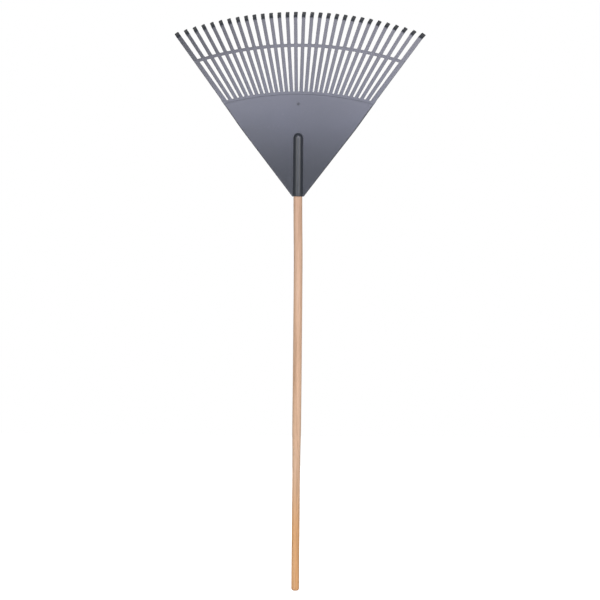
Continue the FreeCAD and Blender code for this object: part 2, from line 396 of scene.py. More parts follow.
def addWear(tree, place, grainScale, markScale):
    node = tree.nodes.new("ShaderNodeGroup")
    node.node_tree = surfaceWear
    setInputs(tree, node, {"Place": place, "Grain Scale": grainScale, "Mark Scale": markScale})
    return node.outputs


def addBump(tree, shader, layers):  # layers: height, strength, distance
    normal = None
    for height, strength, distance in layers:
        normal = addNode(tree, "ShaderNodeBump",
                         {"Strength": strength, "Distance": distance, "Height": height, "Normal": normal})
    feed(tree, normal, shader.inputs["Normal"])


plasticLook = {
    "deep": (0.021, 0.026, 0.032, 1.0),
    "light": (0.028, 0.033, 0.040, 1.0),
    "dust": (0.16, 0.155, 0.15, 1.0),
    "dustAmount": 0.10,
    "roughness": (0.27, 0.32),
    "specularLevel": 0.75,
    "grainScale": 1400.0,
    "cloudScale": 5.0,
    "grainDepth": 0.15 * mm,
    "cloudDepth": 1.6 * mm,
}


def makeSlatePlastic():
    material, tree, place, shader = startMaterial("slatePlastic")
    wear = addWear(tree, place, plasticLook["grainScale"], 11.0)
    cloud = stretchedNoise(tree, place, (1.0, 1.0, 1.0), plasticLook["cloudScale"], 4.0, 0.55)
    cloudMask = spread(tree, cloud, 0.1, 0.9)
    colour = blendColours(tree, cloudMask, plasticLook["deep"], plasticLook["light"])
    dustAmount = calc(tree, "MULTIPLY", wear["Dust"], plasticLook["dustAmount"])
    dusted = blendColours(tree, dustAmount, colour, plasticLook["dust"])
    glossy, dull = plasticLook["roughness"]
    setInputs(tree, shader, {
        "Base Color": dusted, "Specular IOR Level": plasticLook["specularLevel"],
        "Roughness": spread(tree, cloudMask, 0.0, 1.0, dull, glossy)})
    addBump(tree, shader, [(wear["Grain"], 0.11, plasticLook["grainDepth"]), (cloud, 0.12, plasticLook["cloudDepth"])])
    return material


woodLook = {
    "headEnd": (0.60, 0.39, 0.25, 1.0),
    "middle": (0.70, 0.455, 0.28, 1.0),
    "buttEnd": (0.74, 0.40, 0.16, 1.0),
    "streak": (0.30, 0.16, 0.08, 1.0),
    "pale": (0.66, 0.50, 0.36, 1.0),
    "length": 1.20,  # the colour changes over this length of the handle
    "rings": (0.030, 95.0),  # stretch along the handle, and scale
    "fibres": (0.012, 620.0),
    "pores": (0.05, 1900.0),
}


def makePaleWood():
    material, tree, place, shader = startMaterial("paleWood")
    wear = addWear(tree, place, 700.0, 14.0)
    height = addNode(tree, "ShaderNodeSeparateXYZ", {0: place}, output=2)
    along = calc(tree, "DIVIDE", height, woodLook["length"])
    lower = spread(tree, along, 0.12, 0.32)
    upper = spread(tree, along, 0.45, 0.95)
    base = blendColours(tree, lower, woodLook["buttEnd"], woodLook["middle"])
    base = blendColours(tree, upper, base, woodLook["headEnd"])

    def grain(name, detail, rough):
        stretch, scale = woodLook[name]
        return stretchedNoise(tree, place, (1.0, 1.0, stretch), scale, detail, rough)

    broad, fine, pores = grain("rings", 3.0, 0.55), grain("fibres", 4.0, 0.65), grain("pores", 2.0, 0.5)
    poreMask = spread(tree, pores, 0.60, 0.72)
    layers = [(spread(tree, broad, 0.50, 0.70), 0.42, "streak"), (spread(tree, broad, 0.52, 0.30), 0.34, "pale"),
              (spread(tree, fine, 0.50, 0.68), 0.38, "streak"), (poreMask, 0.30, "streak")]
    for mask, strength, tint in layers:  # growth rings, pale bands, fine grain, then the pores
        base = blendColours(tree, calc(tree, "MULTIPLY", mask, strength), base, woodLook[tint])
    setInputs(tree, shader, {"Base Color": base, "Roughness": spread(tree, wear["Marks"], 0.0, 1.0, 0.46, 0.58)})
    addBump(tree, shader, [(fine, 0.22, 0.12 * mm), (poreMask, 0.20, -0.10 * mm), (wear["Grain"], 0.08, 0.05 * mm)])
    return material


def makeZincSteel():
    material, tree, place, shader = startMaterial("zincSteel")
    wear = addWear(tree, place, 1600.0, 160.0)
    colour = blendColours(tree, wear["Marks"], (0.62, 0.62, 0.60, 1.0), (0.44, 0.43, 0.41, 1.0))
    setInputs(tree, shader, {
        "Base Color": colour, "Roughness": spread(tree, wear["Grain"], 0.0, 1.0, 0.28, 0.45), "Metallic": 1.0})
    addBump(tree, shader, [(wear["Grain"], 0.10, 0.05 * mm)])
    return material


slatePlastic = makeSlatePlastic()
paleWood = makePaleWood()
zincSteel = makeZincSteel()
print("materials ready")

# The comb: the band above the step, the inner tines and the front of the crossbar
comb = {
    "edgeRound": 0.9 * mm,
    "slotRound": 0.48,  # of the slot's width at its foot
    "barRound": 1.6 * mm,
    "cornerRound": 9.0 * mm,
    "endRound": 1.5 * mm,
    "legWidth": 3.0 * mm,  # the band turns down a little way along the plate's sides
    "legLength": 8.0 * mm,
    "legRound": 5.0 * mm,
    "slice": 8.0 * mm,  # cut this often to follow the head's curve
    "backProud": 0.12 * mm,  # a hair over the plate's back, so that the two skins don't coincide
    "arcSteps": 64,
}


def combOutline():
    outerAngle, outerOffset = tineAngle(lastTine), tineWidth(lastTine) / 2
    edgeAngle, step = fan["plateHalfAngle"], fan["stepArc"]
    legFoot = step - comb["legLength"]

    def fromSide(inset, arc):
        return crossing(edgeAngle, sideOutset(arc) - inset, arc)

    innerCorner = fromSide(comb["legWidth"], step)
    right = [
        (*innerCorner, comb["legRound"]),
        (*fromSide(comb["legWidth"], legFoot), 0.0),
        (*fromSide(0.0, legFoot), 0.0),
        (*fromSide(0.0, fan["slotArc"]), comb["cornerRound"]),
        (*crossing(outerAngle, outerOffset, fan["slotArc"] + comb["cornerRound"]), comb["cornerRound"]),
        (*crossing(outerAngle, outerOffset, barHigh), comb["endRound"]),
    ]
    left = [(-x, z, radius) for x, z, radius in reversed(right)]
    edges = []
    for arc, end, way in ((step, innerCorner[0] - 2 * comb["legRound"], 1), (barHigh, right[-1][0], -1)):
        swing = asin(end / arc)
        angles = [way * swing * (2 * count / comb["arcSteps"] - 1) for count in range(1, comb["arcSteps"])]
        edges.append([(arc * sin(angle), fan["arcCentreZ"] + arc * cos(angle), 0.0) for angle in angles])
    return roundedLoop(edges[0] + right + edges[1] + left)


def slotOutline(number):
    left, right = number, number + 1
    low, high = fan["slotArc"], barLow
    corners = [
        crossing(tineAngle(left), tineWidth(left) / 2, low),
        crossing(tineAngle(right), -tineWidth(right) / 2, low),
        crossing(tineAngle(right), -tineWidth(right) / 2, high),
        crossing(tineAngle(left), tineWidth(left) / 2, high),
    ]
    width = dist(corners[0], corners[1])
    radii = [comb["slotRound"] * width] * 2 + [comb["barRound"]] * 2
    return roundedLoop([(x, z, radius) for (x, z), radius in zip(corners, radii)], steps=6)


def cutEvery(work, across, low, high, gap):  # parallel cuts, so that the flat shape can follow the head's curve
    level = low + gap / 2
    while level < high:
        bmesh.ops.bisect_plane(work, geom=work.verts[:] + work.edges[:] + work.faces[:], dist=0.002 * mm,
                               plane_co=level * Vector(across), plane_no=across)
        level += gap


def makeComb():
    back = fan["back"] + comb["backProud"]
    thickness = back - fan["front"]
    curve = bpy.data.curves.new("combOutline", "CURVE")
    curve.dimensions = "2D"
    curve.fill_mode = "BOTH"
    curve.bevel_depth = comb["edgeRound"]
    curve.bevel_resolution = 1
    curve.offset = -comb["edgeRound"]
    curve.extrude = thickness / 2 - comb["edgeRound"]
    loops = [combOutline()] + [slotOutline(number) for number in range(lastTine)]
    for loop in loops:
        spline = curve.splines.new("POLY")
        spline.points.add(len(loop) - 1)
        for point, (x, z) in zip(spline.points, loop):
            point.co = (x, z, 0.0, 1.0)
        spline.use_cyclic_u = True
    sketch = objectFrom(curve, "combSketch")
    mesh = settled(sketch)
    bpy.data.objects.remove(sketch)
    bpy.data.curves.remove(curve)
    middle = (fan["front"] + back) / 2
    work = bmesh.new()
    work.from_mesh(mesh)
    bmesh.ops.remove_doubles(work, verts=work.verts, dist=0.02 * mm)
    for vertex in work.verts:
        x, z, depth = vertex.co
        vertex.co = (x, middle - depth, z)
    reach = max(vertex.co.x for vertex in work.verts)
    bottom = min(vertex.co.z for vertex in work.verts)
    cutEvery(work, (0.0, 0.0, 1.0), bottom, fan["arcCentreZ"] + barHigh, comb["slice"])
    cutEvery(work, (1.0, 0.0, 0.0), -reach, reach, comb["slice"])
    for vertex in work.verts:
        vertex.co.y += depthAt(vertex.co.x, vertex.co.z)
    work.to_mesh(mesh)
    work.free()
    return mesh


# The plate: a swept sheet whose sides turn back into rims
plate = {
    "mouthZ": 1.2012,
    "topArc": 0.8785,  # tucked under the comb's band
    "rows": 56,
    "columns": 60,
    "rimThickness": 3.0 * mm,
    "rimDepth": 9.0 * mm,
    "rimEnd": 4.0 * mm,  # a rim runs out to this depth at the band
    "rimFade": 28.0 * mm,
    "edgeRound": 2.2 * mm,
}


def plateRow(arc):
    front, back = fan["plateFront"], fan["back"]
    thick, soft = plate["rimThickness"], plate["edgeRound"]
    fade = min((plate["topArc"] - arc) / plate["rimFade"], 1.0)
    deep = plate["rimEnd"] + (plate["rimDepth"] - plate["rimEnd"]) * fade * (2 - fade)
    proud = fan["front"] + 0.03 * mm
    rim = [(thick + 0.6 * mm, front), (thick + 0.1 * mm, front - 0.06 * mm), (thick - 0.2 * mm, proud + 0.06 * mm),
           (thick - 0.5 * mm, proud)]
    rim += arcOf(soft, proud + soft, soft, range(270, 179, -15))
    rim += [(0.0, deep - 0.6 * mm), (0.6 * mm, deep), (thick - 0.6 * mm, deep), (thick, deep - 0.6 * mm),
            (thick, back + 1.6 * mm), (thick + 0.5 * mm, back + 0.4 * mm), (thick + 1.6 * mm, back)]

    def placed(inset, depth, side):
        x, z = crossing(fan["plateHalfAngle"], sideOutset(arc) - inset, arc)
        return Vector((side * x, depth + sweepBack(arc), z))

    def skin(inset, depth, way):  # across one skin, from left to right where way is 1
        inner = placed(inset, 0.0, 1).x
        places = [way * inner * (step / plate["columns"] - 1) for step in range(1, 2 * plate["columns"])]
        return [Vector((x, depth + sweepBack(arc), fan["arcCentreZ"] + sqrt(arc ** 2 - x ** 2))) for x in places]

    right = [placed(inset, depth, 1) for inset, depth in rim]
    left = [placed(inset, depth, -1) for inset, depth in reversed(rim)]
    return skin(rim[0][0], front, 1) + right + skin(rim[-1][0], back, -1) + left


def plateEnds(rowLength):  # an end of the sheet as narrow quads and its two rims
    across = 2 * plate["columns"] - 1
    rimLength = rowLength // 2 - across
    back = across + rimLength
    faces = [(index, index + 1, back + across - 2 - index, back + across - 1 - index) for index in range(across - 1)]
    faces.append(tuple(range(across - 1, back + 1)))
    faces.append((*range(back + across - 1, rowLength), 0))
    return faces


def makePlate(socketCut):
    startArc = plate["mouthZ"] - fan["arcCentreZ"]
    run = plate["topArc"] - startArc
    rows = [plateRow(startArc + run * step / plate["rows"]) for step in range(plate["rows"] + 1)]
    mesh = meshFrom("plateSheet", [closedSweep(rows, plateEnds(len(rows[0])))])
    sheet = objectFrom(finishMesh(mesh, slatePlastic), "plateSheet")
    cut = cutAway(sheet, [socketCut])
    bpy.data.objects.remove(sheet)
    return cut


# The socket
socket = {
    "radius": 14.6 * mm,
    "bore": 11.8 * mm,
    "mouthZ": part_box("handle_socket")[0][2],
    "topZ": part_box("handle_socket")[1][2],
    "fillet": 0.8 * mm,
    "squeeze": 0.955,  # the outside is a little narrower than it is deep
    "sides": 64,
    "lipRound": 0.8 * mm,
    "boreDepth": 172.0 * mm,
    "boreEnd": 10.6 * mm,
    "cutRadius": 13.2 * mm,  # of the hole that the socket passes through the plate by
    "straightSteps": 22,
}
domeZ = socket["topZ"] - socket["radius"]


def ring(sides):
    return [(cos(2 * pi * side / sides), sin(2 * pi * side / sides)) for side in range(sides)]


def turned(profile, sides):  # profile: radius and height, turned about the handle's axis
    return closedSweep([[Vector((radius * cosine, radius * sine, height)) for cosine, sine in ring(sides)]
                        for radius, height in profile])


def capsule(radius, bottomZ, centreZ, sides):
    profile = [(radius, bottomZ)]
    profile += arcOf(0.0, centreZ, radius, [step * 7.5 for step in range(12)])
    profile.append((hair, centreZ + radius))
    return turned(profile, sides)


def socketTube():
    lip, radius, bore = socket["lipRound"], socket["radius"], socket["bore"]
    mouth = socket["mouthZ"]
    depth = socket["boreDepth"]
    profile = [(hair, mouth + depth), (socket["boreEnd"], mouth + depth - 0.4 * mm), (bore, mouth + 1.0 * mm),
               (bore + 0.3 * mm, mouth + 0.2 * mm), (bore + 0.8 * mm, mouth), (radius - lip, mouth),
               (radius - 0.3 * lip, mouth + 0.3 * lip), (radius, mouth + lip)]
    steps = 14
    profile += [(radius, mouth + lip + (domeZ - mouth - lip) * step / steps) for step in range(1, steps + 1)]
    profile += arcOf(0.0, domeZ, radius, range(5, 90, 5))
    profile.append((hair, socket["topZ"]))
    return turned(profile, socket["sides"])


def filletBead(side):  # the soft inside corner between socket and plate; side -1 is the front
    face = fan["plateFront"] if side < 0 else fan["back"]
    radius, soft = socket["radius"], socket["fillet"]
    straight = [socket["mouthZ"] + (domeZ - socket["mouthZ"]) * step / socket["straightSteps"]
                for step in range(socket["straightSteps"] + 1)]
    stations = [(pi, z) for z in straight]
    stations += [(pi - radians(6.0 * step), domeZ) for step in range(1, 30)]
    stations += [(0.0, z) for z in reversed(straight)]
    rows = []
    for heading, z in stations:
        outX, outZ = cos(heading), sin(heading)
        level = face + depthAt(outX * radius, z + outZ * radius)
        rise = level + side * soft  # depth of the fillet's centre
        reach = sqrt((radius + soft) ** 2 - rise ** 2)
        touch = atan2(rise, reach)
        start, end, steps = touch + side * pi, -side * pi / 2, 7
        angles = [start + (end - start) * step / steps for step in range(steps + 1)]
        section = [(reach + soft * cos(angle), rise + soft * sin(angle)) for angle in angles]
        deep = radius - 0.8 * mm
        section += [(reach, level - side * 0.4 * mm), (deep * cos(touch), deep * sin(touch))]
        rows.append([Vector((outX * across, depth, z + outZ * across)) for across, depth in section])
    return closedSweep(rows)


# Small moulded details: the gate mark, the pins' marks, the stiffeners and the crossbar's deep part
details = {
    "gateZ": 1.483,
    "gateRadius": 5.6 * mm,
    "gateProfile": [(1.0, -0.4), (1.0, 0.05), (0.90, 0.28), (0.78, 0.36), (0.66, 0.30), (0.56, 0.08), (0.44, 0.06),
                    (0.36, 0.30), (0.28, 0.62), (0.18, 0.74), (0.04, 0.74)],  # part of the radius, height in mm
    "stiffenerAngle": radians(16.0),
    "stiffenerFoot": 13.1 * mm,
    "stiffenerZ": 1.235,
    "stiffenerDepth": 6.0 * mm,
    "stiffenerWidth": 2.6 * mm,
    "stiffenerFade": 0.04,  # they run out over this length at the band
    "barDepth": 7.5 * mm,
    "pinRadius": 4.0 * mm,
    "pinProfile": [(1.0, -0.4), (1.0, 0.14), (0.94, 0.20), (0.86, 0.20), (0.80, 0.10), (0.05, 0.10)],
    "pinPlaces": [(0.055, 1.43), (0.105, 1.46), (0.150, 1.478), (0.045, 1.36), (0.085, 1.40), (0.125, 1.43)],
}


def discOn(x, z, face, side, radius, profile):  # a small turned detail on the plate's skin
    base = depthAt(x, z) + face
    return closedSweep([[Vector((x + part * radius * cosine, base + side * height * mm, z + part * radius * sine))
                         for cosine, sine in ring(28)] for part, height in profile])


def gateMark():  # the trimmed stub in its shallow dish, where the plastic was let into the mould
    return discOn(0.0, details["gateZ"], fan["plateFront"], -1, details["gateRadius"], details["gateProfile"])


def ejectorMarks():  # faint rings that the mould's pins leave on the back
    return [discOn(side * x, z, fan["back"], 1, details["pinRadius"], details["pinProfile"])
            for x, z in details["pinPlaces"] for side in (-1, 1)]


def sweptBar(stations, depthLow, width, soft=0.6 * mm):  # a rounded bar; stations: x, z, the way across, depth
    rows = []
    half = width / 2
    for x, z, (sideX, sideZ), depthHigh in stations:
        level = depthAt(x, z)
        high = max(depthHigh, depthLow + 1.2 * soft)
        section = [(-half, depthLow), (half, depthLow), (half, high - soft), (half - 0.3 * soft, high - 0.3 * soft),
                   (half - soft, high), (soft - half, high), (0.3 * soft - half, high - 0.3 * soft),
                   (-half, high - soft)]
        rows.append([Vector((x + shift * sideX, level + depth, z + shift * sideZ)) for shift, depth in section])
    return closedSweep(rows)


def stiffener(side):
    sine, cosine = sin(details["stiffenerAngle"]), cos(details["stiffenerAngle"])
    length = (fan["arcCentreZ"] + fan["stepArc"] - details["stiffenerZ"] - 6 * mm) / cosine
    stations, steps = [], 40
    for step in range(steps + 1):
        run = length * step / steps
        fade = min(1.0, (length - run) / details["stiffenerFade"])
        depth = fan["back"] + details["stiffenerDepth"] * fade * (2 - fade)
        stations.append((side * (details["stiffenerFoot"] + run * sine), details["stiffenerZ"] + run * cosine,
                         (cosine, -side * sine), depth))
    return sweptBar(stations, fan["back"] - 0.6 * mm, details["stiffenerWidth"])


def barBack():  # the deep part of the crossbar, behind the comb
    end = crossing(tineAngle(lastTine), tineWidth(lastTine) / 2 - 0.8 * mm, fan["barArc"])
    swing = asin(end[0] / fan["barArc"])
    stations, steps = [], 96
    for step in range(steps + 1):
        angle = swing * (2 * step / steps - 1)
        sine, cosine = sin(angle), cos(angle)
        stations.append((fan["barArc"] * sine, fan["arcCentreZ"] + fan["barArc"] * cosine, (sine, cosine),
                         fan["front"] + details["barDepth"]))
    return sweptBar(stations, fan["back"] - 1.2 * mm, fan["barWidth"] - 1.2 * mm, 0.9 * mm)


# Geometry Nodes: ribs behind the inner tines
class Number:  # a value inside a node tree that can be used in sums like a plain number
    def __init__(self, tree, output):
        self.tree, self.output = tree, output

    def by(self, operation, other=None):
        return Number(self.tree, calc(self.tree, operation, self, other))

    def __add__(self, other):
        return self.by("ADD", other)

    def __sub__(self, other):
        return self.by("SUBTRACT", other)

    def __rsub__(self, other):
        return Number(self.tree, calc(self.tree, "SUBTRACT", other, self))

    def __mul__(self, other):
        return self.by("MULTIPLY", other)

    def __truediv__(self, other):
        return self.by("DIVIDE", other)

    def __pow__(self, other):
        return self.by("POWER", other)


def pick(sizes, keys):  # some of a piece's sizes, as inputs of the same names
    return {key: sizes[key] for key in keys.split()}


def newTree(name, sizes):
    tree = bpy.data.node_groups.new(name, "GeometryNodeTree")
    tree.interface.new_socket("Geometry", in_out="OUTPUT", socket_type="NodeSocketGeometry")
    for label, value in sizes.items():
        kind = "NodeSocketInt" if isinstance(value, int) else "NodeSocketFloat"
        tree.interface.new_socket(label, in_out="INPUT", socket_type=kind).default_value = value
    tree.interface.new_socket("Material", in_out="INPUT", socket_type="NodeSocketMaterial")
    given = tree.nodes.new("NodeGroupInput").outputs
    result = tree.nodes.new("NodeGroupOutput").inputs["Geometry"]
    return tree, {socket.name: Number(tree, socket) for socket in given if socket.name}, result


def vectorOf(tree, x, y, z):
    return addNode(tree, "ShaderNodeCombineXYZ", {"X": x, "Y": y, "Z": z})


def positionParts(tree):
    parts = tree.nodes.new("ShaderNodeSeparateXYZ")
    feed(tree, addNode(tree, "GeometryNodeInputPosition"), parts.inputs[0])
    return [Number(tree, output) for output in parts.outputs]


def straightBar(tree, width, height, length, stations, soft):  # closed bar: x across, y deep from 0, z along
    line = addNode(tree, "GeometryNodeCurvePrimitiveLine", {"End": vectorOf(tree, 0.0, 0.0, length)})
    path = addNode(tree, "GeometryNodeResampleCurve", {"Curve": line, "Count": stations})
    box = addNode(tree, "GeometryNodeCurvePrimitiveQuadrilateral", {"Width": width, "Height": height})
    rounded = addNode(tree, "GeometryNodeFilletCurve",
                      {"Curve": box, "Radius": soft, "Count": 2, "Limit Radius": True}, {"mode": "POLY"})
    moved = addNode(tree, "GeometryNodeTransform",
                    {"Geometry": rounded, "Translation": vectorOf(tree, 0.0, height * 0.5, 0.0)})
    return addNode(tree, "GeometryNodeCurveToMesh", {"Curve": path, "Profile Curve": moved, "Fill Caps": True})


def finishTree(tree, geometry, position, material, result):
    bent = addNode(tree, "GeometryNodeSetPosition", {"Geometry": geometry, "Position": position})
    real = addNode(tree, "GeometryNodeRealizeInstances", {"Geometry": bent})
    feed(tree, addNode(tree, "GeometryNodeSetMaterial", {"Geometry": real, "Material": material}), result)


def grow(tree, name, values):  # run a tree on an empty mesh with these inputs and keep the result as a plain mesh
    seedPiece = objectFrom(bpy.data.meshes.new(name + "Seed"), name + "Seed")
    modifier = seedPiece.modifiers.new("grow", "NODES")
    modifier.node_group = tree
    for item in tree.interface.items_tree:
        if item.item_type == "SOCKET" and item.in_out == "INPUT" and item.name in values:
            modifier[item.identifier] = values[item.name]
    mesh = settled(seedPiece)
    bpy.data.objects.remove(seedPiece)
    mesh.name = name
    return mesh


ribs = {
    "width": 3.0 * mm,
    "depth": 6.5 * mm,  # from just under the back skin
    "sunk": 0.6 * mm,  # how far under it
    "foot": 26.0 * mm,  # how far a rib runs down the plate's back
    "footDepth": 0.14,  # of the full depth
    "soft": 0.7 * mm,
    "stations": 40,
}


def innerRibTree():
    tree, given, result = newTree("innerRibTree", {
        **pick(fan, "tineCount halfFan arcCentreZ slotArc barArc curveStart curveRadius"),
        **pick(ribs, "width depth foot"), "apexHeight": apexHeight, "skin": fan["back"] - ribs["sunk"],
        "edgeShift": (fan["edgeTineWidth"] - ribs["width"]) / 2})
    points = addNode(tree, "GeometryNodeMeshLine", {"Count": given["tineCount"], "Offset": (0.0, 0.0, 0.0)},
                     {"mode": "OFFSET"})
    marked = addNode(tree, "GeometryNodeStoreNamedAttribute",
                     {"Geometry": points, "Name": "tineNumber", "Value": addNode(tree, "GeometryNodeInputIndex")},
                     {"data_type": "FLOAT", "domain": "POINT"})
    bar = straightBar(tree, given["width"], given["depth"], 1.0, ribs["stations"], ribs["soft"])
    copies = addNode(tree, "GeometryNodeInstanceOnPoints", {"Points": marked, "Instance": bar})
    real = addNode(tree, "GeometryNodeRealizeInstances", {"Geometry": copies})
    number = Number(tree, addNode(tree, "GeometryNodeInputNamedAttribute", {"Name": "tineNumber"},
                                  {"data_type": "FLOAT"}))
    x, y, part = positionParts(tree)
    share = number * 2.0 / (given["tineCount"] - 1.0) - 1.0  # from -1 at the left edge to 1 at the right
    angle = share * given["halfFan"]
    sine, cosine = angle.by("SINE"), angle.by("COSINE")
    offAxis = (given["apexHeight"] * sine) ** 2.0

    def rayTo(arc):
        return (arc ** 2.0 - offAxis).by("SQRT") - given["apexHeight"] * cosine

    start = rayTo(given["slotArc"]) - given["foot"]
    run = part * (rayTo(given["barArc"]) - start)
    ray = start + run
    arc = ((ray + given["apexHeight"] * cosine) ** 2.0 + offAxis).by("SQRT")
    curved = (arc - given["curveStart"]).by("MAXIMUM", 0.0)
    swept = given["curveRadius"] - (given["curveRadius"] ** 2.0 - curved ** 2.0).by("SQRT")
    fade = (run / given["foot"]).by("MINIMUM", 1.0)
    height = given["skin"] + y * (fade * (2.0 - fade)).by("MAXIMUM", ribs["footDepth"])
    isEdge = share.by("ABSOLUTE").by("GREATER_THAN", 0.99)
    side = x + share.by("SIGN") * isEdge * given["edgeShift"]
    placed = vectorOf(tree, ray * sine + side * cosine, swept + height,
                      given["arcCentreZ"] + given["apexHeight"] + (ray * cosine - side * sine))
    finishTree(tree, real, placed, given["Material"], result)
    return tree


# Build the head as one moulding
def makeHead():
    cutter = meshFrom("socketCutter", [capsule(socket["cutRadius"], socket["mouthZ"] - 20 * mm, domeZ, 48)])
    finishMesh(cutter, slatePlastic)
    socketShape = meshFrom("socketShape", [socketTube(), filletBead(-1), filletBead(1)])
    for vertex in socketShape.vertices:
        vertex.co.x *= socket["squeeze"]
    layers = [makeComb(), makePlate(cutter), socketShape, meshFrom("barBack", [barBack()]),
              meshFrom("stiffeners", [stiffener(-1), stiffener(1)]),
              meshFrom("gateMark", [gateMark()] + ejectorMarks()),
              grow(innerRibTree(), "innerRibs", {"Material": slatePlastic})]
    whole = bmesh.new()
    for mesh in layers:
        finishMesh(mesh, slatePlastic)
        whole.from_mesh(mesh)
    joined = bpy.data.meshes.new("headMoulding")
    whole.to_mesh(joined)
    whole.free()
    joined.materials.append(slatePlastic)
    joined.set_sharp_from_angle(angle=radians(38.0))
    head = objectFrom(joined, "headMoulding")
    evenShading(head)
    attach(head, "rake")
    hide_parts("fan_plate", "handle_socket", "side_rim_left", "side_rim_right", "back_stiffeners",
                "crossbar", "inner_tines_left", "inner_tines_right")
    return head


headMoulding = makeHead()
print("head moulding:", len(headMoulding.data.polygons), "faces")

# The thirty free tine ends
tine = {
    "thickness": 2.8 * mm,
    "tipWidth": 12.0 * mm,
    "ribWidth": 3.0 * mm,
    "rootDepth": 8.0 * mm,
    "tipDepth": 5.0 * mm,
    "hookRadius": 14.0 * mm,
    "hookTurn": radians(59.0),
    "hookArm": 33.0 * mm,
    "soft": 0.6 * mm,
    "flare": 1.6 * mm,  # how much wider a tine is where it leaves the crossbar
    "flareLength": 5.0 * mm,
    "stations": 84,
    "endRound": 3.0 * mm,  # the end's corners are taken in over this length
    "endWidth": 0.62,  # to this part of the width
    "ribFade": 12.0 * mm,
    "ribEnd": 0.42,
    "tuck": 4.0 * mm,  # how far a tine reaches into the crossbar
    "faceSink": 0.04 * mm,  # and how little its face lies under the crossbar's
    "blendBefore": 3.0 * mm,
    "blendAfter": 26.0 * mm,
}


def freeTineTree():
    tree, given, result = newTree("freeTineTree", {
        **pick(tine, "tipWidth thickness ribWidth rootDepth tipDepth hookRadius hookTurn hookArm flare flareLength"),
        "tuck": tine["tuck"], "apexZ": fan["apexZ"], "width": fan["tineWidth"], "ribShift": 0.0, "angle": 0.0,
        "startRay": 0.5, "startDepth": 0.0, "slope": 0.12, "bend": 0.3, "straight": 0.07})
    bendLength = given["hookRadius"] * given["hookTurn"]
    bendEnd = given["straight"] + bendLength
    total = bendEnd + given["hookArm"]
    faceBar = straightBar(tree, given["width"], given["thickness"], total, tine["stations"], tine["soft"])
    ribBar = straightBar(tree, given["ribWidth"], given["rootDepth"], total, tine["stations"], tine["soft"])
    x, y, run = positionParts(tree)

    # the flat face: a small flare at the crossbar, a wider paddle at the hook, softened end corners
    past = (run - given["tuck"]).by("MAXIMUM", 0.0)
    left = (1.0 - past / given["flareLength"]).by("MAXIMUM", 0.0)
    flare = given["flare"] * left * left
    paddle = Number(tree, spread(tree, run, given["straight"] - 8 * mm, given["straight"] + 4 * mm))
    wide = given["width"] + paddle * (given["tipWidth"] - given["width"])
    fromEnd = ((total - run) / tine["endRound"]).by("MINIMUM", 1.0)
    cornered = (1.0 - (1.0 - fromEnd) ** 2.0).by("SQRT")
    factor = (wide + flare) / given["width"] * (cornered * (1.0 - tine["endWidth"]) + tine["endWidth"])
    faceShape = addNode(tree, "GeometryNodeSetPosition",
                        {"Geometry": faceBar, "Position": vectorOf(tree, x * factor, y, run)})

    # the rib behind it, lower towards the hook and gone at the very end
    tipPart = given["tipDepth"] / given["rootDepth"]
    lower = Number(tree, spread(tree, run, given["tuck"], given["straight"], 1.0, tipPart, "LINEAR"))
    ending = ((total - run) / tine["ribFade"]).by("MINIMUM", 1.0)
    ribHeight = lower * (ending * (1.0 - tine["ribEnd"]) + tine["ribEnd"])
    ribPlace = vectorOf(tree, x + given["ribShift"], y * ribHeight * 0.93 + 0.5 * mm,
                        run.by("MINIMUM", total - 1.2 * mm))
    ribShape = addNode(tree, "GeometryNodeSetPosition", {"Geometry": ribBar, "Position": ribPlace})
    both = tree.nodes.new("GeometryNodeJoinGeometry")
    tree.links.new(faceShape, both.inputs["Geometry"])
    tree.links.new(ribShape, both.inputs["Geometry"])

    # bend the straight bar: a slow curve, then the hook, then its arm
    early = run.by("MINIMUM", given["straight"])
    turnedBy = (run - given["straight"]).by("MAXIMUM", 0.0).by("MINIMUM", bendLength) / given["hookRadius"]
    late = (run - bendEnd).by("MAXIMUM", 0.0)
    atHook = given["slope"] + given["bend"] * given["straight"]
    atEnd = atHook + given["hookTurn"]
    hookNow = atHook + turnedBy
    slopeNow = given["slope"] + given["bend"] * early + turnedBy
    halfBend = given["bend"] * 0.5 * early ** 2.0
    firstSine, firstCosine = given["slope"].by("SINE"), given["slope"].by("COSINE")
    pathY = early * firstSine + halfBend * firstCosine
    pathY = pathY + given["hookRadius"] * (atHook.by("COSINE") - hookNow.by("COSINE")) + late * atEnd.by("SINE")
    pathZ = early * firstCosine - halfBend * firstSine
    pathZ = pathZ + given["hookRadius"] * (hookNow.by("SINE") - atHook.by("SINE")) + late * atEnd.by("COSINE")
    depth = given["startDepth"] + (pathY + y * slopeNow.by("COSINE"))
    ray = given["startRay"] + (pathZ - y * slopeNow.by("SINE"))
    sine, cosine = given["angle"].by("SINE"), given["angle"].by("COSINE")
    placed = vectorOf(tree, ray * sine + x * cosine, depth, given["apexZ"] + (ray * cosine - x * sine))
    finishTree(tree, both.outputs["Geometry"], placed, given["Material"], result)
    return tree


def arcAndSkew(ray, angle):  # the arc through a place on a ray, and how askew the ray meets it
    arc = sqrt(apexHeight ** 2 + ray ** 2 + 2 * apexHeight * ray * cos(angle))
    skew = abs(angle) - asin(ray * sin(abs(angle)) / arc)
    return arc, skew


